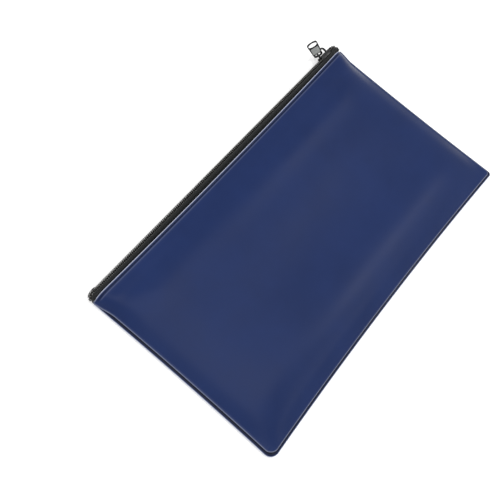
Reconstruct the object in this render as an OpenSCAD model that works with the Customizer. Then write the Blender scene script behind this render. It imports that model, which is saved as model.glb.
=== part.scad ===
// Zippered cash deposit bag: two vinyl panels sewn together on three sides and turned, with a nylon
// coil zip along the fourth. X runs along the zip towards its closed end, Y from the bottom seam to
// the zip, Z up out of the front panel. The bag lies on its back panel, whose flat is at z = 0.

/* [Bag] */
// Length of the bag along the zip
bag_l = 280; // [240:5:320]
// Height of the panels, from the bottom seam to the folded hem beside the zip
bag_w = 156; // [130:2:180]
// Thickness of the coated vinyl sheet
sheet_t = 0.9; // [0.7:0.1:0.9]
// Highest level of the front panel, along the ridges beside the edges
crown_z = 12.2; // [11:0.1:14]
// How far the middle of the front panel sags below its ridges
sag = 2.4; // [0:0.1:2.6]
// Rounding of the two bottom corners
corner_r = 7; // [6.5:0.5:12]

/* [Zip] */
// Width of the closed chain
chain_w = 5.2; // [5:0.1:5.6]
// Height of the coil above its tape
coil_h = 2.1; // [2:0.1:2.2]
// Thickness of the woven tape
tape_t = 0.5; // [0.4:0.05:0.5]
// Angle by which the chain's face leans up from facing straight outwards
zip_tilt = 12; // [8:1:14]
// Where the slider stands when the bag is closed
slider_x = 125.5; // [100:0.5:125.5]

/* [Slider] */
// Length of the slider's plates
plate_l = 13; // [12:0.5:13]
// Length of the pull tab from its eye to its tip
pull_l = 25; // [20:1:26]
// Width of the pull tab's outer end
pull_w = 8.6; // [8:0.1:9]
// Width of the pull tab at its eye
pull_eye_w = 7.4; // [7:0.1:8]

/* [Stitching] */
// Distance from one stitch to the next
stitch_pitch = 3; // [2.5:0.5:4]
// Radius of the sewing thread
thread_r = 0.2; // [0.15:0.01:0.2]
// Width of the sewn allowance inside the seams
allowance = 6; // [5:0.5:7]
// Distance of the top stitching from the hem's folded edge
hem_inset = 3; // [2.5:0.5:4]

/* [Hidden] */

half_l = bag_l / 2;
half_w = bag_w / 2;
edge_gap = 0.3;             // clearance between the two panels along the seam line
seam_z = 3;                 // height of the seam line above the surface
edge_top = 4.9;             // top of the front panel's rolled edge
hem_w = 11;                 // width of sheet turned under along the zip
front_hem_z = 10.6;         // outer face of the front hem
back_hem_z = 0.5;           // outer face of the back hem, raised clear of the surface
hem_half_l = half_l - 14;
layer_gap = 0.05;           // clearance between two layers of one body
front_leg_z = front_hem_z - 2 * sheet_t - layer_gap - tape_t;
back_leg_z = back_hem_z + 2 * sheet_t + layer_gap;
zip_y = half_w + 3;         // inner face of the tape behind the coil
zip_z = (front_leg_z + back_leg_z + tape_t) / 2;
zip_half_l = half_l - 6;    // end of the straight chain
chain_gap = 0.55;           // half of the slot between the two coils
tape_u = 4;                 // where the tape starts to bend back beside the chain
bend_r = 1;                 // radius of that bend, to the middle of the tape
end_r = 5;                  // radius of the chain's turn into the side seams
end_angle = 50;
cols = 28;                  // grid of the front panel
rows = 16;

navy = [0.12, 0.17, 0.36];
black = [0.05, 0.05, 0.055];
gunmetal = [0.26, 0.27, 0.28];

// ---- Helpers ----

// The chain's own frame: its outward face normal is +Y and its width runs along Z
module on_zip() {
    translate([0, zip_y, zip_z]) rotate([zip_tilt, 0, 0]) children();
}

// A flat shape in the YZ plane, extruded along X from -l / 2 to l / 2
module along_x(l) {
    rotate([90, 0, 90]) linear_extrude(l, center = true) children();
}

// The point at v outwards and u across the chain, in the bag's YZ plane
function zip_point(v, u) = [zip_y + v * cos(zip_tilt) - u * sin(zip_tilt),
    zip_z + v * sin(zip_tilt) + u * cos(zip_tilt)];

// A strip of thickness t along an open path of points
function normal_at(path, i) =
    let (a = path[max(0, i - 1)], b = path[min(len(path) - 1, i + 1)], d = b - a)
    [-d[1], d[0]] / norm(d);
module strip(path, t) {
    left = [for (i = [0:len(path) - 1]) path[i] + normal_at(path, i) * t / 2];
    right = [for (i = [len(path) - 1:-1:0]) path[i] - normal_at(path, i) * t / 2];
    polygon(concat(left, right));
}

// The bag's outline, drawn in by inset on the three sewn sides
module outline(inset) {
    r = corner_r - inset;
    union() {
        translate([-half_l + inset, -half_w + corner_r])
            square([bag_l - 2 * inset, bag_w - corner_r]);
        translate([-half_l + corner_r, -half_w + inset])
            square([bag_l - 2 * corner_r, bag_w - corner_r - inset]);
        for (side = [-1, 1])
            translate([side * (half_l - corner_r), -half_w + corner_r])
                circle(r, $fn = 48);
    }
}

// A ring between two insets of the outline, open along the zip
module edge_ring(outer, inner, z, h) {
    translate([0, 0, z]) linear_extrude(h) difference() {
        outline(outer);
        outline(inner);
    }
}

// The sheet turned in along the three seams
module seam_allowance(z) {
    translate([0, 0, z]) linear_extrude(sheet_t) difference() {
        outline(0.3);
        outline(allowance);
        translate([-half_l, half_w - hem_w]) square([bag_l, hem_w]);
    }
}

// ---- Panels ----

// Share of the full height at a distance d from an edge, reached over a length reach
function rise(d, reach, power) = 1 - pow(1 - min(1, max(0, d) / reach), power);
function bump(v, centre, width) = exp(-pow((v - centre) / width, 2));
function ease(t) = t <= 0 ? 0 : t >= 1 ? 1 : t * t * (3 - 2 * t);

// Half of the bag's length at y, with the bottom corners rounded
function half_length_at(y) =
    let (d = min(corner_r, max(0, y + half_w)))
    half_l - corner_r + sqrt(corner_r * corner_r - pow(corner_r - d, 2));

// Outer face of the front panel
function front_z(x, y) =
    let (to_side = half_length_at(y) - abs(x), to_seam = y + half_w, to_hem = half_w - y,
        side_reach = 11 + 35 * ease(to_hem / 40),
        full = front_hem_z + (crown_z - front_hem_z) * rise(to_hem - hem_w / 2, 28, 2)
            - sag * bump(x, 0, bag_l * 0.36) * bump(y, -4, bag_w * 0.21))
    edge_top + (full - edge_top) * rise(to_side, side_reach, 3) * rise(to_seam, 42, 3);

// Grid stations from -1 to 1, closer together near the edges
function station(i, n) = sin(90 * (2 * i / n - 1));

// A closed sheet between two grids of points of (n + 1) by (m + 1), stored row by row
module sheet_between(upper, lower, n, m) {
    w = n + 1;
    size = w * (m + 1);
    top = [for (j = [0:m - 1], i = [0:n - 1], k = [0, 1]) let (a = j * w + i)
        k == 0 ? [a, a + w, a + w + 1] : [a, a + w + 1, a + 1]];
    bottom = [for (f = top) [f[0] + size, f[2] + size, f[1] + size]];
    rim = concat([for (i = [0:n - 1]) i], [for (j = [0:m - 1]) j * w + n],
        [for (i = [n:-1:1]) m * w + i], [for (j = [m:-1:1]) j * w]);
    side = [for (i = [0:len(rim) - 1], k = [0, 1])
        let (a = rim[i], b = rim[(i + 1) % len(rim)])
        k == 0 ? [a, b, b + size] : [a, b + size, a + size]];
    polyhedron(concat(upper, lower), concat(top, bottom, side), convexity = 6);
}

module front_panel() {
    grid = [for (j = [0:rows], i = [0:cols])
        let (y = half_w * station(j, rows)) [half_length_at(y) * station(i, cols), y]];
    outer = [for (p = grid) [p[0], p[1], front_z(p[0], p[1])]];
    inner = [for (p = outer) p - [0, 0, sheet_t]];
    color(navy) union() {
        sheet_between(outer, inner, cols, rows);
        seam_allowance(seam_z + edge_gap / 2);
        translate([-hem_half_l, half_w - hem_w, front_hem_z - 2 * sheet_t])
            cube([2 * hem_half_l, hem_w, sheet_t + layer_gap]);
    }
}

module back_panel() {
    color(navy) union() {
        difference() {
            linear_extrude(sheet_t) outline(1.2);
            translate([-half_l, half_w - hem_w, -1]) cube([bag_l, hem_w + 1, 1 + back_hem_z]);
        }
        edge_ring(0.3, 1.2 + sheet_t / 2, sheet_t / 2, seam_z - edge_gap / 2 - sheet_t / 2);
        seam_allowance(seam_z - edge_gap / 2 - sheet_t);
        translate([-half_l + 1.2, half_w - hem_w, back_hem_z])
            cube([bag_l - 2.4, hem_w, 2 * sheet_t]);
    }
}

// ---- Zip ----

// The tape's section: flat behind the coil, bent back round the slider's inner plate, then straight
// in under the hem; side is 1 for the front tape and -1 for the back one
module tape_section(side) {
    leg_z = (side > 0 ? front_leg_z : back_leg_z) + tape_t / 2;
    mid_v = tape_t / 2;
    turn = [for (a = [0:20:180]) zip_point(mid_v - bend_r * (1 - cos(a)),
        side * (tape_u + bend_r * sin(a)))];
    path = concat([zip_point(mid_v, side * chain_gap)], turn,
        [[half_w + 0.3, leg_z], [half_w - hem_w + 1, leg_z]]);
    strip(path, tape_t);
}

// The section of one coil, drawn in by inset, with the bore that its filler cord runs through
module coil_section(side, inset, bore_r) {
    low = side > 0 ? chain_gap : -chain_w / 2;
    bevel = 0.5;
    w = chain_w / 2 - chain_gap;
    i = inset;
    translate([tape_t, low]) difference() {
        polygon([[i, i], [coil_h - bevel, i], [coil_h - i, bevel], [coil_h - i, w - bevel],
            [coil_h - bevel, w - i], [i, w - i]]);
        translate([coil_h / 2, w / 2]) circle(bore_r, $fn = 32);
    }
}

// Carries a section of the chain round the turn at each end
module chain_turns() {
    lap = 1.5;
    for (end = [0, 1])
        mirror([end, 0, 0]) translate([zip_half_l, zip_y - end_r, zip_z])
            rotate([0, 0, 90 - end_angle]) rotate_extrude(angle = end_angle + lap, $fn = 96)
                translate([end_r, 0]) rotate([0, 0, zip_tilt]) children();
}

module chain_tape_end(side) {
    inset = 0.06;
    low = side > 0 ? chain_gap : -tape_u;
    translate([inset, low + inset])
        square([tape_t - 2 * inset, tape_u - chain_gap - 2 * inset]);
}

module tape(side) {
    color(black) union() {
        along_x(2 * zip_half_l) tape_section(side);
        chain_turns() chain_tape_end(side);
    }
}

module coil(side) {
    color(black) union() {
        on_zip() along_x(2 * zip_half_l) coil_section(side, 0, 0.5);
        chain_turns() coil_section(side, 0.06, 0.56);
    }
}

module filler_cord(side) {
    u = side * (chain_gap + chain_w / 2) / 2;
    color(black) on_zip() translate([0, tape_t + coil_h / 2, u])
        rotate([0, 90, 0]) cylinder(r = 0.4, h = 2 * zip_half_l - 2, center = true, $fn = 24);
}

// The two strands that sew a coil to its tape, lying over the loops
module coil_thread(side) {
    for (u = [1.2, 2.1])
        color(black) on_zip() translate([0, tape_t + coil_h + 0.14, side * u])
            rotate([0, 90, 0]) cylinder(r = 0.1, h = 2 * (zip_half_l - 2), center = true, $fn = 16);
}

// Bars of thread across the chain that stop the slider at each end
module end_tack(end) {
    color(black) on_zip()
        for (i = [0:2])
            translate([end * (zip_half_l - 1.5 + 0.6 * i), tape_t + coil_h + 0.32, 0])
                cylinder(r = 0.28, h = chain_w - 0.4, center = true, $fn = 20);
}

// ---- Slider ----

nose_w = 8.6;               // width of the plates at the slider's nose
tail_w = 7.4;
plate_t = 1;
inner_v = -0.25;            // faces of the two plates that look at the chain
outer_v = tape_t + coil_h + 0.9;
flange_v = tape_t + 0.3;    // the outer plate's flanges reach down to here
bridge_t = 1.2;             // section of the bridge
window_l = 6.6;             // window under the bridge
window_h = 3.6;
window_top = outer_v + plate_t + window_h;

module plate_outline(shrink) {
    e = plate_l / 2 - shrink;
    n = nose_w / 2 - shrink;
    t = tail_w / 2 - shrink;
    polygon([[-e, -t + 1], [-e + 1, -t], [0, -t], [e - 2, -n], [e, -n + 1.6],
        [e, n - 1.6], [e - 2, n], [0, t], [-e + 1, t], [-e, t - 1]]);
}

// Stands an outline in the plate's plane and thickens it outwards
module plate(v, t) {
    translate([0, v + t, 0]) rotate([90, 0, 0]) linear_extrude(t) children();
}

module bridge() {
    l = window_l / 2;
    b = l + bridge_t;
    top = window_top + bridge_t;
    base = outer_v + plate_t - 0.2;
    linear_extrude(bridge_t, center = true) difference() {
        polygon([[-b, base], [b, base], [b, top - 1.6], [b - 1.6, top],
            [-b + 1.6, top], [-b, top - 1.6]]);
        polygon([[-l, base - 1], [l, base - 1], [l, window_top - 0.8], [l - 0.8, window_top],
            [-l + 0.8, window_top], [-l, window_top - 0.8]]);
    }
}

module slider_body() {
    color(gunmetal) on_zip() translate([slider_x, 0, 0]) union() {
        plate(inner_v - plate_t, plate_t) plate_outline(0.45);
        plate(outer_v, plate_t) plate_outline(0);
        plate(flange_v, outer_v - flange_v + 0.1) difference() {
            plate_outline(0);
            translate([-plate_l, -tail_w / 2 + 0.8]) square([plate_l * 2, tail_w - 1.6]);
        }
        translate([plate_l / 2 - 4.4, inner_v - 0.1, -0.35])
            cube([3, outer_v - inner_v + 0.2, 0.7]);
        bridge();
    }
}

// ---- Pull tab ----

pull_t = 1.1;
pull_lean_out = 28;         // lean from the chain's width towards its outward side
pull_lean_back = 27;        // lean towards the tail, in the tab's own plane
pull_twist = 30;            // turn about the tab's own length
pivot_v = outer_v + plate_t + 2.5;
pivot_x = slider_x - window_l / 2 - bridge_t / 2;
eye_l = 4.8;
eye_w = 4.4;

module pull_outline() {
    inner = -2.7;
    tip = inner + pull_l;
    w = pull_w / 2;
    e = pull_eye_w / 2;
    difference() {
        union() {
            translate([0, inner + 2.2]) square([pull_eye_w - 4.4, 4.4], center = true);
            for (s = [-1, 1]) {
                translate([s * (e - 2.2), inner + 2.2]) circle(2.2, $fn = 32);
                translate([s * (w - 2.6), tip - 2.6]) circle(2.6, $fn = 32);
            }
            polygon([[-e, inner + 2.2], [e, inner + 2.2], [w, tip - 2.6], [-w, tip - 2.6]]);
            translate([0, tip - 2.6]) square([pull_w - 5.2, 5.2], center = true);
        }
        translate([0, inner + 1 + eye_l / 2]) oval(eye_w, eye_l);
        translate([0, tip - 1 - 3.4]) oval(6.4, 6.8);
    }
}

module oval(w, l) {
    r = min(w, l) / 2 - 0.2;
    for (sx = [-1, 1], sy = [-1, 1])
        translate([sx * (w / 2 - r), sy * (l / 2 - r)]) circle(r, $fn = 32);
    square([w, l - 2 * r], center = true);
    square([w - 2 * r, l], center = true);
}

module pull_tab() {
    color(gunmetal) on_zip() translate([pivot_x + 0.45, pivot_v, 0])
        rotate([-pull_lean_out, 0, 0]) rotate([0, -pull_lean_back, 0])
            rotate([90, 0, -pull_twist]) difference() {
                linear_extrude(pull_t, center = true) pull_outline();
                for (s = [-1, 1])
                    translate([-2.2, 3.6, s * pull_t / 2 - (s < 0 ? 1 : 0.2)])
                        cube([4.4, 9.6, s < 0 ? 1.2 : 1]);
            }
}

// ---- Stitching ----

// Stitches in a row of length l along X, centred on the origin
module stitch_row(l) {
    count = floor(l / stitch_pitch);
    for (i = [0:count - 1])
        translate([(i - (count - 1) / 2) * stitch_pitch, 0, 0]) rotate([0, 90, 0])
            cylinder(r = thread_r, h = stitch_pitch - 0.7, center = true, $fn = 24);
}

module hem_thread(z) {
    color(navy) translate([0, half_w - hem_inset, z]) stitch_row(2 * hem_half_l - 6);
}

module side_seam_thread(end, z) {
    l = bag_w - corner_r - hem_w - 4;
    color(navy) translate([end * (half_l - allowance / 2 - 1), (corner_r - hem_w) / 2, z])
        rotate([0, 0, 90]) stitch_row(l);
}

module bottom_seam_thread(z) {
    color(navy) translate([0, -half_w + allowance / 2 + 1, z])
        stitch_row(bag_l - 2 * corner_r - 6);
}

front_row_z = seam_z + edge_gap / 2 + sheet_t + thread_r + 0.02;
back_row_z = seam_z - edge_gap / 2 - sheet_t - thread_r - 0.02;

back_panel();
front_panel();
tape(-1);  // back_tape
tape(1);  // front_tape
coil(-1);  // back_coil
coil(1);  // front_coil
filler_cord(-1);  // back_filler_cord
filler_cord(1);  // front_filler_cord
coil_thread(-1);  // back_coil_thread
coil_thread(1);  // front_coil_thread
slider_body();
pull_tab();
end_tack(-1);  // left_end_tack
end_tack(1);  // right_end_tack
hem_thread(back_hem_z - thread_r - 0.02);  // back_hem_needle_thread
hem_thread(back_leg_z + tape_t + thread_r + 0.02);  // back_hem_bobbin_thread
hem_thread(front_hem_z + thread_r + 0.02);  // front_hem_needle_thread
hem_thread(front_leg_z - thread_r - 0.02);  // front_hem_bobbin_thread
side_seam_thread(-1, back_row_z);  // back_left_seam_thread
side_seam_thread(1, back_row_z);  // back_right_seam_thread
bottom_seam_thread(back_row_z);  // back_bottom_seam_thread
side_seam_thread(-1, front_row_z);  // front_left_seam_thread
side_seam_thread(1, front_row_z);  // front_right_seam_thread
bottom_seam_thread(front_row_z);  // front_bottom_seam_thread
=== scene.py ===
import math

import bmesh
import bpy
from mathutils import Matrix, Vector, noise


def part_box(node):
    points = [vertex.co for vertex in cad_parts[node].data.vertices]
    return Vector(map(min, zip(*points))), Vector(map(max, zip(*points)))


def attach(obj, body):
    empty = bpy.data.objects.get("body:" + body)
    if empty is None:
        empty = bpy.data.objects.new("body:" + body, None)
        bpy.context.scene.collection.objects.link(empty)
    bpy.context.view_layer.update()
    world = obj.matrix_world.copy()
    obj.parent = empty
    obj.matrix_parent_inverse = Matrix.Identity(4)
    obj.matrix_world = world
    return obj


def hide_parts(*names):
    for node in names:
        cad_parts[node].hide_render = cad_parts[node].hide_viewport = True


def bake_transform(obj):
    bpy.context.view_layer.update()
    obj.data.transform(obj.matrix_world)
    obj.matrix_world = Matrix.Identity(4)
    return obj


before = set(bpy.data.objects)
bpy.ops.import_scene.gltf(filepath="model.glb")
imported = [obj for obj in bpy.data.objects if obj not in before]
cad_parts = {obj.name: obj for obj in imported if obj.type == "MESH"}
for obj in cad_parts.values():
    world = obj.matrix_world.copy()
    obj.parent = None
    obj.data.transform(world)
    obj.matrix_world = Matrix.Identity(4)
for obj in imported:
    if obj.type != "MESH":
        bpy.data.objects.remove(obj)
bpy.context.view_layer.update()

bl_info = {
    "name": "Cash Deposit Bag",
    "version": (1, 0, 0),
    "blender": (4, 5, 0),
    "location": "View3D > Sidebar > Deposit Bag",
    "description": "Builds a turned vinyl deposit bag with a coil zip around its packed frame",
    "category": "Add Mesh",
}

MM = 0.001

# ---- The frame's own sizes, which every piece is placed from ----

PANEL_LOW, PANEL_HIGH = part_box("front_panel")
SLIDER_LOW, SLIDER_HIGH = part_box("slider_body")
HALF_L = PANEL_HIGH.x
HALF_W = PANEL_HIGH.y
SEAM_Z = PANEL_LOW.z - 0.15 * MM
SLIDER_X = (SLIDER_LOW.x + SLIDER_HIGH.x) / 2

# The bag's sewn section
ROLL_R = 0.95 * MM              # outer radius of every turned or folded edge
EDGE_TOP = 4.9 * MM             # top of the front panel's rolled seam edge
BACK_EDGE = 1.05 * MM           # underside of the back panel's rolled seam edge
FRONT_HEM_Z = 10.6 * MM         # outer faces of the two hems beside the zip
BACK_HEM_Z = 0.5 * MM
HEM_TURN = 11 * MM              # the hem's allowance, turned in along the zip
ALLOWANCE = 6 * MM              # a seam's allowance, and how deep the turned-in layer is drawn
SEAM_INSET = 4 * MM             # how far inside the edge the seams are sewn

# The front's relief: a roll near the zip, a roll near the bottom seam and a hollow between
ZIP_ROLL_Y = 52 * MM
ZIP_ROLL_W = 11.5 * MM
SEAM_ROLL_Y = -47 * MM
SEAM_ROLL_W = 15 * MM
SEAM_ROLL_SHARE = 0.6           # its height next to that of the roll near the zip
HOLLOW_X = 8 * MM
HOLLOW_Y = -4 * MM
HOLLOW_L = 0.72 * HALF_L
HOLLOW_W = 0.38 * HALF_W

# The zip's section: v runs outwards and u runs across the chain
ZIP_Y = HALF_W + 3 * MM
ZIP_Z = 5.55 * MM
ZIP_TILT = math.radians(12)
ZIP_STRAIGHT = HALF_L - 6 * MM
ZIP_TURN_R = 5 * MM
ZIP_TURN = math.radians(78)
ZIP_END = ZIP_STRAIGHT + ZIP_TURN_R * ZIP_TURN
TAPE_T = 0.5 * MM
COIL_H = 2.1 * MM


# ---- Settings a user would change ----

def length(name, description, default, least, most):
    """A setting given in millimetres."""
    return bpy.props.FloatProperty(name=name, description=description, default=default * MM,
                                   min=least * MM, max=most * MM, unit="LENGTH")


def tint(name, description, default):
    """A setting for a colour."""
    return bpy.props.FloatVectorProperty(name=name, description=description, default=default,
                                         min=0, max=1, subtype="COLOR")


class BagSheetSettings(bpy.types.PropertyGroup):
    corner: length("Bottom Corner", "Rounding of the bottom corner away from the slider", 7, 2, 12)
    sharp_corner: length(
        "Sharp Corner", "Rounding of the bottom corner on the slider's side", 3, 1, 12)
    lip: length("Lip", "How far the back panel's seam edge stands out past the front's", 2.2, 0, 3)
    zip_corner: length("Zip Corner", "Rounding of the two corners beside the zip", 1.1, 1, 6)
    crown: length("Crown", "Height of the front panel's ridges", 12.2, 10.7, 14)
    sag: length("Sag", "How far the middle sinks below the ridges", 2.4, 0, 3)
    roll: length("Roll", "Height of the two soft rolls that run along the bag", 2.3, 0, 2.5)
    bottom_bow: length("Bottom Bow", "How far the bottom seam draws in at its middle", 3, 0, 6)
    zip_bow: length("Zip Bow", "How far the hems draw in at their middle", 1.6, 0, 2)
    side_bow: length("Side Bow", "How far the side seams draw in at their middle", 1, 0, 4)
    thickness: length("Vinyl Thickness", "Thickness of the coated sheet", 0.85, 0.5, 0.9)
    ripple: length("Ripple", "Depth of the soft unevenness of the panels", 0.45, 0, 1)
    pucker: length(
        "Pucker", "Depth of the gathers that the stitches make at the seams", 0.09, 0, 0.3)
    colour: tint("Vinyl Colour", "Colour of the coated sheet", (0.0085, 0.0215, 0.088))


class BagZipSettings(bpy.types.PropertyGroup):
    pitch: length("Pitch", "Distance between neighbouring loops of one coil", 1.5, 1.2, 2)
    wire: length(
        "Monofilament", "Radius of the nylon that the coils are wound from", 0.3, 0.2, 0.35)
    flare: length(
        "Flare", "How far the chain swings out before it turns into the left seam", 0.9, 0, 1.5)
    stub: length("Stub", "How far the chain stands out beyond the closed slider", 1.5, 0, 2)
    tape_colour: tint("Tape Colour", "Colour of the woven tapes", (0.009, 0.010, 0.010))
    coil_colour: tint("Coil Colour", "Colour of the nylon coils", (0.07, 0.068, 0.064))


class BagSliderSettings(bpy.types.PropertyGroup):
    plate_length: length("Plate Length", "Length of the slider's two plates", 11, 10, 13)
    pull_length: length("Pull Length", "Length of the pull tab", 25, 20, 26)
    pull_width: length("Pull Width", "Width of the pull tab's outer end", 8.6, 7, 9)
    colour: tint("Metal Colour", "Colour of the lacquered metal", (0.016, 0.016, 0.017))
    worn_colour: tint(
        "Worn Metal Colour", "Colour of the pull's recess, where the metal shows", (0.50, 0.52, 0.50))


class BagStitchSettings(bpy.types.PropertyGroup):
    pitch: length("Stitch Pitch", "Distance from one stitch to the next", 3, 2, 4)
    radius: length("Thread Radius", "Radius of the sewing thread", 0.2, 0.1, 0.22)
    inset: length("Hem Inset", "Distance of the top stitching from the folded edge", 2.1, 2, 5)
    colour: tint("Thread Colour", "Colour of the sewing thread", (0.004, 0.007, 0.022))


class BagStageSettings(bpy.types.PropertyGroup):
    floor_colour: tint("Floor Colour", "Colour of the floor and the backdrop", (0.93, 0.93, 0.93))
    key: bpy.props.FloatProperty(
        name="Key Light", description="Power of the soft lights",
        default=1.7, min=0, max=60, unit="POWER")
    fill: bpy.props.FloatProperty(
        name="Fill Light", description="Strength of the surrounding light",
        default=0.74, min=0, max=3)


SETTINGS = (BagSheetSettings, BagZipSettings, BagSliderSettings, BagStitchSettings,
            BagStageSettings)


def bag():
    return bpy.context.scene.deposit_bag


class BagSettings(bpy.types.PropertyGroup):
    sheet: bpy.props.PointerProperty(type=BagSheetSettings)
    zip: bpy.props.PointerProperty(type=BagZipSettings)
    slider: bpy.props.PointerProperty(type=BagSliderSettings)
    stitch: bpy.props.PointerProperty(type=BagStitchSettings)
    stage: bpy.props.PointerProperty(type=BagStageSettings)


# ---- Mesh helpers ----

def ease(t):
    t = min(1.0, max(0.0, t))
    return t * t * (3 - 2 * t)


def rise(distance, reach, power):
    return 1 - (1 - min(1.0, max(0.0, distance) / reach)) ** power


def bump(value, centre, width):
    return math.exp(-((value - centre) / width) ** 2)


def mapped_grid(around, across, place, weld=0.02 * MM, painted_light_at=None):
    """A grid of around by across faces, each corner moved to place(i, j), with its seams welded.
    The last function, if given, gives at each corner the painted highlight (above 0) or painted shade
    (below 0) that its material lays over the colour."""
    bm = bmesh.new()
    bmesh.ops.create_grid(bm, x_segments=around, y_segments=across, size=1)
    # Painted highlight and painted shade, stored per corner for the material's colour
    painted_light = bm.verts.layers.float.new("PaintedLight") if painted_light_at else None
    for vert in bm.verts:
        i = round((vert.co.x + 1) / 2 * around)
        j = round((vert.co.y + 1) / 2 * across)
        vert.co = place(i, j)
        if painted_light_at:
            vert[painted_light] = painted_light_at(i, j)
    bmesh.ops.remove_doubles(bm, verts=bm.verts, dist=weld)
    bmesh.ops.dissolve_degenerate(bm, edges=bm.edges, dist=0.004 * MM)
    return bm


def close_holes(bm):
    edges = [edge for edge in bm.edges if edge.is_boundary]
    bmesh.ops.holes_fill(bm, edges=edges, sides=0)


def face_towards(bm, point, direction):
    """Turns a whole open sheet so that its face nearest to point looks along direction."""
    bm.normal_update()
    nearest = min(bm.faces, key=lambda face: (face.calc_center_median() - point).length)
    if nearest.normal.dot(direction) < 0:
        bmesh.ops.reverse_faces(bm, faces=bm.faces)


def shown(name, data):
    """A new object in the scene, at the origin, that holds some data."""
    obj = bpy.data.objects.new(name, data)
    bpy.context.scene.collection.objects.link(obj)
    return obj


def to_object(bm, name, crease=40):
    mesh = bpy.data.meshes.new(name)
    for face in bm.faces:
        face.smooth = True
    bm.to_mesh(mesh)
    bm.free()
    mesh.set_sharp_from_angle(angle=math.radians(crease))
    return shown(name, mesh)


def with_modifiers_applied(obj):
    """Bakes an object's modifiers, or a curve's tube, into a mesh object of the same name."""
    bpy.context.view_layer.update()
    evaluated = obj.evaluated_get(bpy.context.evaluated_depsgraph_get())
    mesh = bpy.data.meshes.new_from_object(evaluated)
    name = obj.name
    bpy.data.objects.remove(obj)
    return shown(name, mesh)


def smoothed(obj, crease):
    """Shades obj smooth, but for edges where its faces meet at more than crease degrees."""
    for polygon in obj.data.polygons:
        polygon.use_smooth = True
    obj.data.set_sharp_from_angle(angle=math.radians(crease))
    return obj


def thickened(obj, thickness):
    solid = obj.modifiers.new("Sheet", "SOLIDIFY")
    solid.thickness = thickness
    solid.offset = -1
    solid.use_even_offset = False
    done = with_modifiers_applied(obj)
    done.data.set_sharp_from_angle(angle=math.radians(50))
    return done


def tube(name, lines, radius, sides=8):
    """Round strands along lists of points, as one mesh with capped ends."""
    curve = bpy.data.curves.new(name, "CURVE")
    curve.dimensions = "3D"
    curve.bevel_depth = radius
    curve.bevel_resolution = max(0, sides // 2 - 2)
    curve.use_fill_caps = True
    for points in lines:
        spline = curve.splines.new("POLY")
        spline.points.add(len(points) - 1)
        for target, point in zip(spline.points, points):
            target.co = (*point, 1)
    done = with_modifiers_applied(shown(name, curve))
    for polygon in done.data.polygons:
        polygon.use_smooth = True
    return done


def joined(name, objects):
    """One mesh object made of several."""
    bm = bmesh.new()
    for obj in objects:
        bm.from_mesh(obj.data)
        bpy.data.objects.remove(obj)
    mesh = bpy.data.meshes.new(name)
    bm.to_mesh(mesh)
    bm.free()
    return shown(name, mesh)


def half_of(obj, side, name):
    """A copy of the part of obj on one side of the bag's middle, closed where it is cut."""
    bm = bmesh.new()
    bm.from_mesh(obj.data)
    everything = bm.verts[:] + bm.edges[:] + bm.faces[:]
    bmesh.ops.bisect_plane(
        bm, geom=everything, dist=0.001 * MM, plane_co=(0, 0, 0), plane_no=(-side, 0, 0),
        clear_outer=True)
    close_holes(bm)
    return to_object(bm, name, 50)


def finished(obj, node, slot, material):
    """Gives a piece its material, and puts it in place of a node of the frame; slot is not used."""
    if not obj.data.polygons:
        raise RuntimeError(f"{obj.name} has no faces")
    obj.data.materials.clear()
    obj.data.materials.append(material)
    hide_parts(node)


def fitted(obj, body, node, slot, material):
    """Finishes a piece that rides on one body."""
    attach(obj, body)
    finished(obj, node, slot, material)


def opening_with_mouth(obj, node, slot, material):
    """Splits a piece of the front at the bag's middle into two halves, each closed where it is cut."""
    halves = []
    for side, word in ((-1, "left"), (1, "right")):
        half = half_of(obj, side, f"{obj.name}_{word}")
        finished(half, node, slot, material)
        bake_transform(half)
        halves.append(half)
    bpy.data.objects.remove(obj)
    return halves


# ---- The two panels ----

def warped(x, y, lip=0.0):
    """Draws a point of the flat outline in, as the filled-out panels pull their edges."""
    sheet = bag().sheet
    along = 1 - (x / HALF_L) ** 2
    across = 1 - (y / HALF_W) ** 2
    low = ((1 - y / HALF_W) / 2) ** 3
    high = ((1 + y / HALF_W) / 2) ** 3
    y_moved = y + along * (sheet.bottom_bow * low - sheet.zip_bow * high)
    x_moved = x - across * sheet.side_bow * (x / HALF_L) ** 3
    to_side, to_seam, to_hem = edge_distances(x, y)
    x_moved -= math.copysign(lip * (1 - ease(to_side / (16 * MM))), x) * ease(to_hem / (18 * MM))
    y_moved += lip * (1 - ease(to_seam / (16 * MM)))
    return x_moved, y_moved


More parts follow.
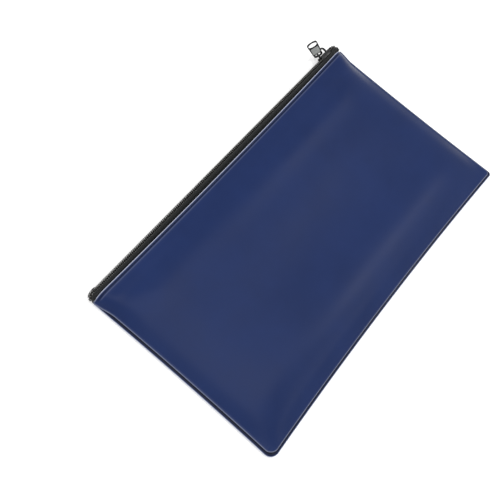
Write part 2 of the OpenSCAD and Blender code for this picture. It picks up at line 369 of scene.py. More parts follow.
class Outline:
    """The panels' outline as a ring of stations that can be drawn in by any inset."""

    LONG = 236
    SHORT = 132
    BOTTOM_CORNER = 12
    ZIP_CORNER = 6
    STEPS = 2 * (LONG + SHORT + BOTTOM_CORNER + ZIP_CORNER)

    def __init__(self):
        sheet = bag().sheet
        self.corner = sheet.corner
        self.sharp_corner = sheet.sharp_corner
        self.zip_corner = sheet.zip_corner

    def corner_radius(self, radius, inset):
        share = 1 - inset / HALF_W
        return max(radius - inset, 0.6 * radius * share, 0)

    def at(self, i, inset):
        """Where station i lies, once the outline has been drawn in by inset."""
        half_x = HALF_L - inset
        half_y = HALF_W - inset
        left_r = self.corner_radius(self.corner, inset)
        low_r = self.corner_radius(self.sharp_corner, inset)
        high_r = self.corner_radius(self.zip_corner, inset)
        i = i % self.STEPS
        # Bottom edge, left to right
        if i < self.LONG:
            share = i / self.LONG
            return (left_r - half_x) * (1 - share) + (half_x - low_r) * share, -half_y
        i -= self.LONG
        if i < self.BOTTOM_CORNER:
            angle = math.pi / 2 * (i / self.BOTTOM_CORNER - 1)
            return half_x - low_r + low_r * math.cos(angle), -half_y + low_r + low_r * math.sin(angle)
        i -= self.BOTTOM_CORNER
        # Right side, upwards
        if i < self.SHORT:
            share = i / self.SHORT
            return half_x, (low_r - half_y) * (1 - share) + (half_y - high_r) * share
        i -= self.SHORT
        if i < self.ZIP_CORNER:
            angle = math.pi / 2 * i / self.ZIP_CORNER
            return half_x - high_r + high_r * math.cos(angle), half_y - high_r + high_r * math.sin(angle)
        i -= self.ZIP_CORNER
        # Zip edge, right to left
        if i < self.LONG:
            return (half_x - high_r) * (1 - 2 * i / self.LONG), half_y
        i -= self.LONG
        if i < self.ZIP_CORNER:
            angle = math.pi / 2 * (1 + i / self.ZIP_CORNER)
            return -half_x + high_r + high_r * math.cos(angle), half_y - high_r + high_r * math.sin(angle)
        i -= self.ZIP_CORNER
        # Left side, downwards
        if i < self.SHORT:
            share = i / self.SHORT
            return -half_x, (half_y - high_r) * (1 - share) + (left_r - half_y) * share
        i -= self.SHORT
        angle = math.pi * (1 + 0.5 * i / self.BOTTOM_CORNER)
        return -half_x + left_r + left_r * math.cos(angle), -half_y + left_r + left_r * math.sin(angle)


def edge_distances(x, y):
    """How far a point of the flat panel is from its side, its bottom seam and its hem."""
    return HALF_L - abs(x), y + HALF_W, HALF_W - y


def gathers(x, y):
    """The fine puckers that stitching leaves along the seams and the hem."""
    to_side, to_seam, to_hem = edge_distances(x, y)
    pitch = bag().stitch.pitch
    inset = bag().stitch.inset
    depth = bag().sheet.pucker
    waves = 0
    for along, distance in ((y, to_side), (x, to_seam)):
        waves += math.cos(2 * math.pi * along / pitch) * bump(distance, 1.5 * MM, 2.2 * MM)
    waves += math.cos(2 * math.pi * x / pitch) * bump(to_hem, inset, 1.6 * MM)
    return depth * waves


def unevenness(x, y):
    """Soft hollows and swells of a limp sheet, fading towards the sewn edges."""
    to_side, to_seam, to_hem = edge_distances(x, y)
    inside = ease(min(to_side, to_seam, to_hem) / (26 * MM))
    broad = noise.noise(Vector((x * 14, y * 18, 0.3)))
    finer = noise.noise(Vector((x * 38 + 5, y * 46, 1.7)))
    return bag().sheet.ripple * inside * (broad + 0.28 * finer)


def front_height(x, y):
    """Height of the front panel's outer face over a point of the flat outline."""
    sheet = bag().sheet
    to_side, to_seam, to_hem = edge_distances(x, y)
    hollow = sheet.sag * bump(x, HOLLOW_X, HOLLOW_L) * bump(y, HOLLOW_Y, HOLLOW_W)
    full = FRONT_HEM_Z + (sheet.crown - FRONT_HEM_Z) * rise(to_hem - HEM_TURN / 2, 28 * MM, 2)
    # Two soft rolls run along the bag, and fade towards the end away from the slider
    strength = sheet.roll * (0.65 + 0.35 * x / HALF_L)
    full += strength * (bump(y, ZIP_ROLL_Y, ZIP_ROLL_W)
                        + SEAM_ROLL_SHARE * bump(y, SEAM_ROLL_Y, SEAM_ROLL_W))
    # The turned-under layer ends here, and the single sheet drops off it a little
    step = 0.2 * MM * bump(to_hem, HEM_TURN + 3 * MM, 3.6 * MM)
    inset = bag().stitch.inset
    groove = 0.5 * MM * bump(to_hem, inset, 0.5 * MM)
    fall = 0.2 * MM * max(0.0, 1 - to_hem / inset) ** 1.5
    inner = full - hollow - step + unevenness(x, y)
    # Beside the zip the sheet rises steeply from its side seams, and elsewhere over a long way
    reach = (11 + 35 * ease(to_hem / (40 * MM))) * MM
    lip = 1.5 * MM
    rising = rise(to_side - lip, reach, 2.6) * rise(to_seam - lip, 36 * MM, 2.6)
    level = EDGE_TOP + (inner - EDGE_TOP) * rising
    return level - (groove + fall) * ease(to_side / (10 * MM)) + gathers(x, y)


def back_height(x, y):
    """Height of the back panel's outer face: flat where it lies, rounded up to its seams."""
    to_side, to_seam, to_hem = edge_distances(x, y)
    lift = max(1 - rise(to_side, 12 * MM, 2), 1 - rise(to_seam, 12 * MM, 2))
    hem_lift = BACK_HEM_Z * (1 - rise(to_hem - HEM_TURN, 6 * MM, 2))
    groove = 0.25 * MM * bump(to_hem, bag().stitch.inset, 0.55 * MM)
    return max(BACK_EDGE * lift, hem_lift) + groove


TURN_STEPS = 7                  # faces round a turned edge


def panel_rings():
    """Insets of the rings over the panel's face, from its edge to its middle line."""
    fine = [1.25, 1.6, 1.95, 2.3, 2.6, 2.9, 3.2, 3.5, 3.9, 4.5, 5.3, 6.3, 7.5, 8.8, 10,
            11, 12, 13, 14.2, 15.6, 17.2, 19, 21]
    rings = [value * MM for value in fine]
    while rings[-1] < HALF_W - 3 * MM:
        rings.append(rings[-1] + 2.6 * MM)
    rings[-1] = HALF_W
    return rings


def panel_sheet(name, height, side):
    """One panel: its face, its turned or folded edge, and the layer turned in underneath.
    side is 1 where the outer face looks up, and -1 where it looks down."""
    outline = Outline()
    rings = panel_rings()
    under = [ALLOWANCE, 4.5 * MM, 3 * MM, 1.8 * MM]
    count = len(under) + TURN_STEPS + 1 + len(rings)

    def edge_level(i):
        return height(*outline.at(i, ROLL_R))

    edge_levels = [edge_level(i) for i in range(Outline.STEPS)]

    def place(i, j):
        i = i % Outline.STEPS
        if j < len(under):
            x, y = outline.at(i, under[j])
            z = edge_levels[i] - side * 2 * ROLL_R
        elif j <= len(under) + TURN_STEPS:
            turn = math.pi * (1 - (j - len(under)) / TURN_STEPS)
            x, y = outline.at(i, ROLL_R * (1 - math.sin(turn)))
            z = edge_levels[i] - side * ROLL_R * (1 - math.cos(turn))
        else:
            x, y = outline.at(i, rings[j - len(under) - TURN_STEPS - 1])
            z = height(x, y)
        x, y = warped(x, y, bag().sheet.lip if side > 0 else 0)
        return Vector((x, y, z))

    # Painted light laid over the sheet's colour: above 0 a painted highlight, below 0 painted shade
    def painted_light_at(i, j):
        turn = math.pi * (1 - (j - len(under)) / TURN_STEPS)
        x, y = outline.at(i, 0)
        hemmed = ease((y - HALF_W + 2 * MM) / (1.5 * MM)) * ease((HALF_L - abs(x)) / (3 * MM))
        # Painted shade on the turned-in layers under the seams and the hem
        if j < len(under):
            return -0.85
        # Painted shade in the hem's stitch groove, with a faint painted highlight just inside it
        if j > len(under) + TURN_STEPS:
            inset = rings[j - len(under) - TURN_STEPS - 1]
            seam = bag().stitch.inset
            return hemmed * (0.08 * bump(inset, seam + 1.2 * MM, 0.45 * MM)
                             - 0.8 * bump(inset, seam, 0.5 * MM))
        # Painted highlight on the back's outer edge, and painted shade where its turn meets the front
        if side < 0:
            return 0.8 * bump(turn, 1.95, 0.5) - 0.6 * bump(turn, math.pi, 0.35)
        # Painted highlight along the front's rolled edge, strongest along the hem
        return bump(turn, 0.9, 0.5) * (0.22 + 0.78 * hemmed)

    bm = mapped_grid(Outline.STEPS, count - 1, place, painted_light_at=painted_light_at)
    face_towards(bm, Vector((0, 0, height(0, 0))), Vector((0, 0, side)))
    obj = to_object(bm, name)
    return thickened(obj, bag().sheet.thickness)


# ---- The zip ----

def chain_frame(s):
    """Where the chain's middle is at a distance s along it, and which way its face looks."""
    end = 1 if s > 0 else -1
    past = abs(s) - ZIP_STRAIGHT
    if s > 0:
        swing = bag().zip.stub * ease((s - ZIP_STRAIGHT + 5 * MM) / (5 * MM))
    else:
        swing = bag().zip.flare * ease((-s - ZIP_STRAIGHT + 3.5 * MM) / (7 * MM))
    if past <= 0:
        return Vector((s, ZIP_Y + swing, 0)), Vector((0, 1, 0))
    angle = past / ZIP_TURN_R
    outward = Vector((end * math.sin(angle), math.cos(angle), 0))
    centre = Vector((end * ZIP_STRAIGHT, ZIP_Y - ZIP_TURN_R + swing, 0))
    return centre + outward * ZIP_TURN_R, outward


def on_chain(s, v, u):
    """The point at v outwards and u across the chain, a distance s along it."""
    middle, outward = chain_frame(s)
    squeeze = 1 - 0.42 * ease((abs(s) - ZIP_STRAIGHT) / (ZIP_END - ZIP_STRAIGHT))
    u *= squeeze
    out = v * math.cos(ZIP_TILT) - u * math.sin(ZIP_TILT)
    up = v * math.sin(ZIP_TILT) + u * math.cos(ZIP_TILT)
    drop = 0.9 * MM * ease((abs(s) - ZIP_STRAIGHT) / (ZIP_END - ZIP_STRAIGHT))
    return middle + outward * out + Vector((0, 0, ZIP_Z + up - drop))


def zip_tape(name, side):
    """A tape: flat behind its coil, bent back beside it, and straight in under the hem."""
    bend_u = 4 * MM
    bend_r = 1 * MM
    outer = TAPE_T / 2
    flat = [(outer, u * MM) for u in (0.5, 1.2, 2.1, 3.0, 3.6)]
    bend = []
    for step in range(9):
        angle = math.pi * step / 8
        bend.append((outer - bend_r * (1 - math.cos(angle)), bend_u + bend_r * math.sin(angle)))
    section = flat + bend

    def leg_height(x):
        """Just inside the hem, and down with it where it falls to the side seam."""
        under_front = max(front_height(x, HALF_W - 2 * MM) - 2.3 * MM, 3.4 * MM)
        if side > 0:
            return min(under_front, FRONT_HEM_Z - 2.1 * MM)
        return min(under_front - 0.6 * MM, BACK_HEM_Z + 2.1 * MM)

    leg = [(HALF_W + 0.9 * MM, 0.35), (HALF_W + 0.1 * MM, 0.8), (HALF_W - 1.2 * MM, 1),
           (HALF_W - 5 * MM, 1), (HALF_W - HEM_TURN + 1 * MM, 1)]
    steps = 300

    def place(i, j):
        s = ZIP_END * (2 * i / steps - 1)
        if j < len(section):
            v, u = section[j]
            return on_chain(s, v, side * u)
        bent = on_chain(s, section[-1][0], side * section[-1][1])
        y, share = leg[j - len(section)]
        reach = 1 - ease((abs(s) - ZIP_STRAIGHT) / (6 * MM))
        x = math.copysign(min(abs(s), HALF_L - 3.4 * MM), s)
        target = Vector((x, y, bent.z + (leg_height(x) - bent.z) * share))
        return bent.lerp(target, reach)

    bm = mapped_grid(steps, len(section) + len(leg) - 1, place)
    face_towards(bm, on_chain(0, outer, side * 2 * MM), Vector((0, 1, 0)))
    obj = to_object(bm, name, 60)
    solid = obj.modifiers.new("Weave", "SOLIDIFY")
    solid.thickness = 0.42 * MM
    solid.offset = 0
    return with_modifiers_applied(obj)


def coil_points(side, start, stop):
    """The nylon's winding round the filler cord, from one distance along the chain to another."""
    pitch = bag().zip.pitch
    per_loop = 16
    loops = int((stop - start) / pitch)
    centre_v = TAPE_T + COIL_H / 2
    centre_u = 1.12 * MM
    reach_u = 1.5 * MM
    reach_v = COIL_H / 2 - bag().zip.wire
    offset = 0 if side > 0 else pitch / 2
    points = []
    for k in range(loops * per_loop + 1):
        turn = 2 * math.pi * k / per_loop
        across = math.copysign(abs(math.cos(turn)) ** 0.75, math.cos(turn))
        out = math.copysign(abs(math.sin(turn)) ** 0.75, math.sin(turn))
        # Each loop crosses the chain square on, and steps along only where it lies on the tape
        whole, part = divmod(k / per_loop, 1)
        step = whole + ease((part - 0.5) / 0.5)
        s = start + offset + pitch * step
        points.append(on_chain(s, centre_v + reach_v * out, side * (centre_u - reach_u * across)))
    return points


def coil(name, side):
    margin = 1.5 * MM
    lines = [coil_points(side, -ZIP_END + margin, ZIP_END - margin)]
    return tube(name, lines, bag().zip.wire, sides=8)


def filler_cord(name, side):
    steps = 280
    u = 1.25 * MM
    limit = ZIP_END - 1.2 * MM
    line = []
    for i in range(steps + 1):
        line.append(on_chain(limit * (2 * i / steps - 1), TAPE_T + COIL_H / 2, side * u))
    return tube(name, [line], 0.5 * MM, sides=10)


def coil_thread(name, side):
    """Two chain-stitched strands that hold a coil down, dipping between its loops."""
    pitch = bag().zip.pitch
    steps = int(2 * (ZIP_END - 3 * MM) / pitch) * 4
    lines = []
    for u in (0.95 * MM, 1.85 * MM):
        line = []
        for i in range(steps + 1):
            s = (ZIP_END - 3 * MM) * (2 * i / steps - 1)
            lift = 0.07 * MM * math.cos(2 * math.pi * s / pitch)
            line.append(on_chain(s, TAPE_T + COIL_H + 0.08 * MM + lift, side * u))
        lines.append(line)
    return tube(name, lines, 0.13 * MM, sides=6)


def end_tack(name, end):
    """Turns of thread wound across the closed chain."""
    lines = []
    for turn in range(4):
        s = end * (ZIP_STRAIGHT - 1.7 * MM + 0.5 * MM * turn)
        line = []
        for step in range(13):
            u = (step / 6 - 1) * 2.5 * MM
            arch = 0.32 * MM * (1 - (step / 6 - 1) ** 4)
            line.append(on_chain(s, TAPE_T + COIL_H + arch, u))
        lines.append(line)
    return tube(name, lines, 0.24 * MM, sides=8)


# ---- Slider and pull ----

PLATE_T = 1 * MM
INNER_V = -0.25 * MM
OUTER_V = TAPE_T + COIL_H + 0.9 * MM
FLANGE_V = TAPE_T + 0.3 * MM
NOSE_W = 8.6 * MM
TAIL_W = 7.4 * MM
WINDOW_L = 6.6 * MM             # the window under the slider's bridge
WINDOW_H = 3.6 * MM
BRIDGE_T = 1.2 * MM
PULL_INNER = -2.7 * MM          # the pull's inner end, measured from its pivot
EYE_L = 4.8 * MM
EYE_W = 4.4 * MM
EYE_WALL = 1 * MM
PIVOT_V = OUTER_V + PLATE_T + 2.5 * MM
PIVOT_X = SLIDER_X - WINDOW_L / 2 - BRIDGE_T / 2 + 0.45 * MM


def zip_matrix(x=0.0):
    """Places the chain's own frame, X along it, Y outwards and Z across, in the bag."""
    return Matrix.Translation((x, ZIP_Y, ZIP_Z)) @ Matrix.Rotation(ZIP_TILT, 4, "X")


def plate_points(shrink=0.0):
    """Outline of a slider plate: broad at the nose, tapering to a rounded tail."""
    end = bag().slider.plate_length / 2 - shrink
    nose = NOSE_W / 2 - shrink
    tail = TAIL_W / 2 - shrink
    half = [(-end, 0), (-end, tail - 1.6 * MM), (-end + 0.45 * MM, tail - 0.5 * MM),
            (-end + 1.4 * MM, tail), (-1.2 * MM, tail), (1 * MM, tail + 0.18 * MM),
            (end - 3 * MM, nose - 0.1 * MM), (end - 1.9 * MM, nose), (end - 0.8 * MM, nose - 0.35 * MM),
            (end - 0.15 * MM, nose - 1.3 * MM), (end, nose - 2.4 * MM), (end - 0.5 * MM, 0)]
    mirrored = [(x, -z) for x, z in half[1:-1]]
    return half + mirrored[::-1]


def slab(points, low, high, bevel, segments=3):
    """A plate with rounded edges: an outline in X and Z, drawn from y = low to y = high."""
    bm = bmesh.new()
    face = bm.faces.new([bm.verts.new((x, low, z)) for x, z in points])
    grown = bmesh.ops.extrude_face_region(bm, geom=[face])
    raised = [item for item in grown["geom"] if isinstance(item, bmesh.types.BMVert)]
    bmesh.ops.translate(bm, verts=raised, vec=(0, high - low, 0))
    bmesh.ops.recalc_face_normals(bm, faces=bm.faces)
    sharp = [edge for edge in bm.edges if edge.calc_face_angle(0) > math.radians(50)]
    bmesh.ops.bevel(bm, geom=sharp, offset=bevel, segments=segments, profile=0.5,
                    affect="EDGES", material=-1)
    return bm


def arch_path():
    """The bridge's middle line, from one foot up and over to the other, in X and Y."""
    half = WINDOW_L / 2 + BRIDGE_T / 2
    foot = OUTER_V + 0.4 * MM
    top = OUTER_V + PLATE_T + WINDOW_H + BRIDGE_T / 2
    radius = 2.1 * MM
    path = [(-half - 0.25 * MM, foot), (-half, foot + 1.2 * MM), (-half, top - radius - 0.6 * MM)]
    for step in range(9):
        angle = math.pi * (1 - 0.5 * step / 8)
        path.append((-half + radius + radius * math.cos(angle), top - radius + radius * math.sin(angle)))
    return path + [(-x, y) for x, y in reversed(path)]


def bridge_mesh():
    """A bar with rounded corners, swept along the bridge's middle line."""
    path = [Vector((x, y, 0)) for x, y in arch_path()]
    sides = 16
    across = Vector((0, 0, 1))

    def place(i, j):
        before = path[max(0, j - 1)]
        after = path[min(len(path) - 1, j + 1)]
        forward = (after - before).normalized()
        normal = across.cross(forward)
        angle = 2 * math.pi * i / sides
        flat = math.copysign(abs(math.cos(angle)) ** 0.6, math.cos(angle)) * BRIDGE_T / 2
        wide = math.copysign(abs(math.sin(angle)) ** 0.6, math.sin(angle)) * BRIDGE_T / 2 * 1.3
        # The casting is a little fuller on its outer side
        if flat > 0:
            flat *= 1.25
        return path[j] + normal * flat + across * wide

    bm = mapped_grid(sides, len(path) - 1, place, weld=0.004 * MM)
    close_holes(bm)
    bmesh.ops.recalc_face_normals(bm, faces=bm.faces)
    return bm


def slider_mesh(name):
    """Two plates, the post between them, the flanges and the bridge, as one casting."""
    parts = [slab(plate_points(0.85 * MM), INNER_V - PLATE_T, INNER_V, 0.28 * MM),
             slab(plate_points(), OUTER_V, OUTER_V + PLATE_T, 0.36 * MM, 4)]
    # The outer plate's flanges, which close the chain from both sides
    for side in (-1, 1):
        rim = [(x, z) for x, z in plate_points(0.05 * MM) if side * z > 1.4 * MM]
        rim.sort(key=lambda point: point[0])
        inner = TAIL_W / 2 - 0.8 * MM
        strip = rim + [(rim[-1][0], side * inner), (rim[0][0], side * inner)]
        strip = [point for point in strip if abs(point[1]) >= inner - 0.01 * MM]
        parts.append(slab(strip, FLANGE_V, OUTER_V + 0.2 * MM, 0.12 * MM, 2))
    half = 0.35 * MM
    front = bag().slider.plate_length / 2
    post = [(front - 4.4 * MM, -half), (front - 1.4 * MM, -half), (front - 1.4 * MM, half),
            (front - 4.4 * MM, half)]
    parts.append(slab(post, INNER_V - 0.2 * MM, OUTER_V + 0.2 * MM, 0.1 * MM, 2))
    parts.append(bridge_mesh())
    objects = [to_object(bm, f"{name}_part") for bm in parts]
    obj = joined(name, objects)
    obj.data.transform(zip_matrix(SLIDER_X))
    return smoothed(obj, 42)


def arc(cx, cy, radius, start, stop, steps):
    """Points round an arc, from one angle in degrees to another."""
    points = []
    for step in range(steps + 1):
        angle = math.radians(start + (stop - start) * step / steps)
        points.append((cx + radius * math.cos(angle), cy + radius * math.sin(angle)))
    return points


def pull_outline(grow=0.0):
    """The tab's outline: narrow and round at the eye, broader and squarer at its tip."""
    slider = bag().slider
    inner = PULL_INNER - grow
    tip = PULL_INNER + slider.pull_length + grow
    eye_half = 3.7 * MM + grow
    tip_half = slider.pull_width / 2 + grow
    eye_r = 2.4 * MM + grow
    tip_r = 2.9 * MM + grow
    return (arc(eye_half - eye_r, inner + eye_r, eye_r, -90, 0, 10)
            + arc(tip_half - tip_r, tip - tip_r, tip_r, 0, 90, 10)
            + arc(tip_r - tip_half, tip - tip_r, tip_r, 90, 180, 10)
            + arc(eye_r - eye_half, inner + eye_r, eye_r, 180, 270, 10))


def rounded_slot(cy, width, length, radius):
    x = width / 2 - radius
    y = length / 2 - radius
    return (arc(x, cy - y, radius, -90, 0, 8) + arc(x, cy + y, radius, 0, 90, 8)
            + arc(-x, cy + y, radius, 90, 180, 8) + arc(-x, cy - y, radius, 180, 270, 8))


def cut_plate(name, outlines, thickness, bevel):
    """A flat plate with holes and rounded edges, lying in its own XY plane."""
    curve = bpy.data.curves.new(name, "CURVE")
    curve.dimensions = "2D"
    curve.fill_mode = "BOTH"
    curve.extrude = thickness / 2 - bevel
    curve.bevel_depth = bevel
    curve.bevel_resolution = 2
    curve.offset = -bevel
    for points in outlines:
        spline = curve.splines.new("POLY")
        spline.points.add(len(points) - 1)
        spline.use_cyclic_u = True
        for target, (x, y) in zip(spline.points, points):
            target.co = (x, y, 0, 1)
    done = with_modifiers_applied(shown(name, curve))
    bm = bmesh.new()
    bm.from_mesh(done.data)
    bmesh.ops.remove_doubles(bm, verts=bm.verts, dist=0.004 * MM)
    bmesh.ops.recalc_face_normals(bm, faces=bm.faces)
    bm.to_mesh(done.data)
    bm.free()
    return done


def pull_recess():
    """Where the sunk middle starts and ends along the pull."""
    return 3.4 * MM, bag().slider.pull_length - 11 * MM


def pull_mesh(name):
    tip = PULL_INNER + bag().slider.pull_length
    eye = rounded_slot(PULL_INNER + EYE_WALL + EYE_L / 2, EYE_W, EYE_L, 2 * MM)
    hole = rounded_slot(tip - 4.3 * MM, 7 * MM, 7 * MM, 3.1 * MM)
    low, high = pull_recess()
    recess = rounded_slot((low + high) / 2, 6.4 * MM, high - low, 0.7 * MM)
    return hung(cut_plate(name, [pull_outline(), eye, recess, hole], 1.15 * MM, 0.24 * MM))


def pull_web(name):
    """The thin sunk middle of the pull."""
    low, high = pull_recess()
    outline = rounded_slot((low + high) / 2, 6.9 * MM, high - low + 0.5 * MM, 0.8 * MM)
    return hung(cut_plate(name, [outline], 0.7 * MM, 0.05 * MM))


def hung(obj):
    """Puts a flat part of the pull in its place on the slider's bridge."""
    lean_out = math.radians(-28)
    lean_back = math.radians(-27)
    twist = math.radians(-30)
    place = (zip_matrix() @ Matrix.Translation((PIVOT_X, PIVOT_V, 0))
             @ Matrix.Rotation(lean_out, 4, "X") @ Matrix.Rotation(lean_back, 4, "Y")
             @ Matrix.Rotation(twist, 4, "Z") @ Matrix.Rotation(math.pi / 2, 4, "X"))
    obj.data.transform(place)
    return smoothed(obj, 42)


# ---- Stitching ----

def stitches(name, places, direction):
    """Plump lockstitches, one at each place, lying along direction."""
    pitch = bag().stitch.pitch
    radius = bag().stitch.radius
    half = (pitch - 0.7 * MM) / 2
    turn = Vector((0, 0, 1)).rotation_difference(Vector(direction)).to_matrix().to_4x4()
    bm = bmesh.new()
    for place in places:
        made = bmesh.ops.create_uvsphere(bm, u_segments=8, v_segments=6, radius=radius)
        stretch = Matrix.Diagonal((1, 1, half / radius, 1))
        bmesh.ops.transform(bm, verts=made["verts"],
                            matrix=Matrix.Translation(place) @ turn @ stretch)
    return to_object(bm, name, 80)


def row(length):
    """Where the stitches of a centred row lie along its length."""
    pitch = bag().stitch.pitch
    count = int(length / pitch)
    return [(i - (count - 1) / 2) * pitch for i in range(count)]


def hem_places(height, lift):
    y = HALF_W - bag().stitch.inset
    places = []
    for x in row(2 * HALF_L - 34 * MM):
        bent_x, bent_y = warped(x, y)
        places.append(Vector((bent_x, bent_y, height(x, y) + lift)))
    return places


def flat_places(points, z):
    return [Vector((*warped(x, y), z)) for x, y in points]


# ---- Materials ----

def group_socket(tree, name, kind, direction, default=None):
    socket = tree.interface.new_socket(name, in_out=direction, socket_type=kind)
    if default is not None:
        socket.default_value = default
    return socket


def grain_group():
    """Fine pebble of a coated sheet, with faint handling marks, as a height and a mask."""
    found = bpy.data.node_groups.get("Coated Grain")
    if found:
        return found
    tree = bpy.data.node_groups.new("Coated Grain", "ShaderNodeTree")
    group_socket(tree, "Grain Scale", "NodeSocketFloat", "INPUT", 900.0)
    group_socket(tree, "Mark Scale", "NodeSocketFloat", "INPUT", 30.0)
    group_socket(tree, "Height", "NodeSocketFloat", "OUTPUT")
    group_socket(tree, "Marks", "NodeSocketFloat", "OUTPUT")
    nodes, links = tree.nodes, tree.links
    start = nodes.new("NodeGroupInput")
    end = nodes.new("NodeGroupOutput")
    coords = nodes.new("ShaderNodeTexCoord")
    pebble = nodes.new("ShaderNodeTexVoronoi")
    pebble.feature = "SMOOTH_F1"
    links.new(coords.outputs["Object"], pebble.inputs["Vector"])
    links.new(start.outputs["Grain Scale"], pebble.inputs["Scale"])
    marks = nodes.new("ShaderNodeTexNoise")
    marks.inputs["Detail"].default_value = 5
    marks.inputs["Roughness"].default_value = 0.6
    links.new(coords.outputs["Object"], marks.inputs["Vector"])
    links.new(start.outputs["Mark Scale"], marks.inputs["Scale"])
    links.new(pebble.outputs["Distance"], end.inputs["Height"])
    links.new(marks.outputs["Fac"], end.inputs["Marks"])
    return tree


def grained(nodes, grain_scale, mark_scale):
    grain = nodes.new("ShaderNodeGroup")
    grain.node_tree = grain_group()
    grain.inputs["Grain Scale"].default_value = grain_scale
    grain.inputs["Mark Scale"].default_value = mark_scale
    return grain


def blank_material(name):
    material = bpy.data.materials.new(name)
    material.use_nodes = True
    nodes = material.node_tree.nodes
    shader = nodes["Principled BSDF"]
    return material, nodes, material.node_tree.links, shader


def mixed(nodes, links, mask, low, high, target=None):
    """Runs a colour from low to high as mask rises, into a shader's socket if one is given."""
    ramp = nodes.new("ShaderNodeValToRGB")
    ramp.color_ramp.elements[0].position = 0.3
    ramp.color_ramp.elements[0].color = (*low, 1)
    ramp.color_ramp.elements[1].position = 0.7
    ramp.color_ramp.elements[1].color = (*high, 1)
    links.new(mask, ramp.inputs["Fac"])
    if target:
        links.new(ramp.outputs["Color"], target)
    return ramp.outputs["Color"]


def ranged(nodes, links, mask, low, high, target):
    spread = nodes.new("ShaderNodeMapRange")
    spread.inputs["From Min"].default_value = 0.3
    spread.inputs["From Max"].default_value = 0.7
    spread.inputs["To Min"].default_value = low
    spread.inputs["To Max"].default_value = high
    links.new(mask, spread.inputs["Value"])
    links.new(spread.outputs["Result"], target)


def shaded(colour, factor):
    return tuple(min(1.0, channel * factor) for channel in colour)


def raised(nodes, links, height, distance, shader, strength=1.0):
    lift = nodes.new("ShaderNodeBump")
    lift.inputs["Distance"].default_value = distance
    lift.inputs["Strength"].default_value = strength
    links.new(height, lift.inputs["Height"])
    links.new(lift.outputs["Normal"], shader.inputs["Normal"])


def vinyl():
    """Pebbled navy coating, semi-gloss, with painted highlights along its rolled edges and painted shade
    in its seams.
    """
    found = bpy.data.materials.get("Navy Vinyl")
    if found:
        return found
    material, nodes, links, shader = blank_material("Navy Vinyl")
    colour = tuple(bag().sheet.colour)
    grain = grained(nodes, 1400, 26)
    ramp = mixed(nodes, links, grain.outputs["Marks"], shaded(colour, 0.92), shaded(colour, 1.1))
    # Painted highlight: the colour runs pale where the painted light is above 0, along the rolled edges
    painted_light = nodes.new("ShaderNodeAttribute")
    painted_light.attribute_name = "PaintedLight"
    painted_highlight = nodes.new("ShaderNodeMix")
    painted_highlight.data_type = "RGBA"
    painted_highlight.inputs["B"].default_value = (0.72, 0.76, 0.92, 1)
    links.new(painted_light.outputs["Fac"], painted_highlight.inputs["Factor"])
    links.new(ramp, painted_highlight.inputs["A"])
    # Painted shade: the colour runs nearly black where the painted light is below 0, in the seams and the
    # stitch groove
    sunk = nodes.new("ShaderNodeMath")
    sunk.operation = "MULTIPLY"
    sunk.inputs[1].default_value = -1
    links.new(painted_light.outputs["Fac"], sunk.inputs[0])
    painted_shade = nodes.new("ShaderNodeMix")
    painted_shade.data_type = "RGBA"
    painted_shade.inputs["B"].default_value = (0.001, 0.002, 0.008, 1)
    links.new(sunk.outputs["Value"], painted_shade.inputs["Factor"])
    links.new(painted_highlight.outputs["Result"], painted_shade.inputs["A"])
    links.new(painted_shade.outputs["Result"], shader.inputs["Base Color"])
    ranged(nodes, links, grain.outputs["Marks"], 0.34, 0.41, shader.inputs["Roughness"])
    raised(nodes, links, grain.outputs["Height"], 0.02 * MM, shader, 0.5)
    shader.inputs["Specular IOR Level"].default_value = 0.14
    shader.inputs["Sheen Weight"].default_value = 0.03
    shader.inputs["Sheen Roughness"].default_value = 0.5
    return material


def woven_tape():
    """Black polyester tape with its ribs across and a fine twill."""
    found = bpy.data.materials.get("Woven Tape")
    if found:
        return found
    material, nodes, links, shader = blank_material("Woven Tape")
    colour = tuple(bag().zip.tape_colour)
    coords = nodes.new("ShaderNodeTexCoord")
    ribs = nodes.new("ShaderNodeTexWave")
    ribs.wave_type = "BANDS"
    ribs.bands_direction = "X"
    ribs.inputs["Scale"].default_value = 640
    ribs.inputs["Distortion"].default_value = 1.5
    ribs.inputs["Detail"].default_value = 1
    links.new(coords.outputs["Object"], ribs.inputs["Vector"])
    twill = nodes.new("ShaderNodeTexWave")
    twill.bands_direction = "DIAGONAL"
    twill.inputs["Scale"].default_value = 900
    links.new(coords.outputs["Object"], twill.inputs["Vector"])
    both = nodes.new("ShaderNodeMath")
    both.operation = "MULTIPLY_ADD"
    both.inputs[1].default_value = 0.5
    links.new(ribs.outputs["Fac"], both.inputs[0])
    links.new(twill.outputs["Fac"], both.inputs[2])
    mixed(nodes, links, ribs.outputs["Fac"], shaded(colour, 0.7), shaded(colour, 1.9),
          shader.inputs["Base Color"])
    shader.inputs["Roughness"].default_value = 0.75
    shader.inputs["Specular IOR Level"].default_value = 0.25
    shader.inputs["Sheen Weight"].default_value = 0.08
    shader.inputs["Sheen Roughness"].default_value = 0.4
    raised(nodes, links, both.outputs["Value"], 0.12 * MM, shader)
    return material


def nylon():
    """Smooth, shiny monofilament."""
    found = bpy.data.materials.get("Nylon Coil")
    if found:
        return found
    material, nodes, links, shader = blank_material("Nylon Coil")
    colour = tuple(bag().zip.coil_colour)
    grain = grained(nodes, 2600, 240)
    mixed(nodes, links, grain.outputs["Marks"], shaded(colour, 0.8), shaded(colour, 1.6),
          shader.inputs["Base Color"])
    ranged(nodes, links, grain.outputs["Marks"], 0.2, 0.3, shader.inputs["Roughness"])
    shader.inputs["Coat Weight"].default_value = 0.6
    shader.inputs["Coat Roughness"].default_value = 0.1
    return material


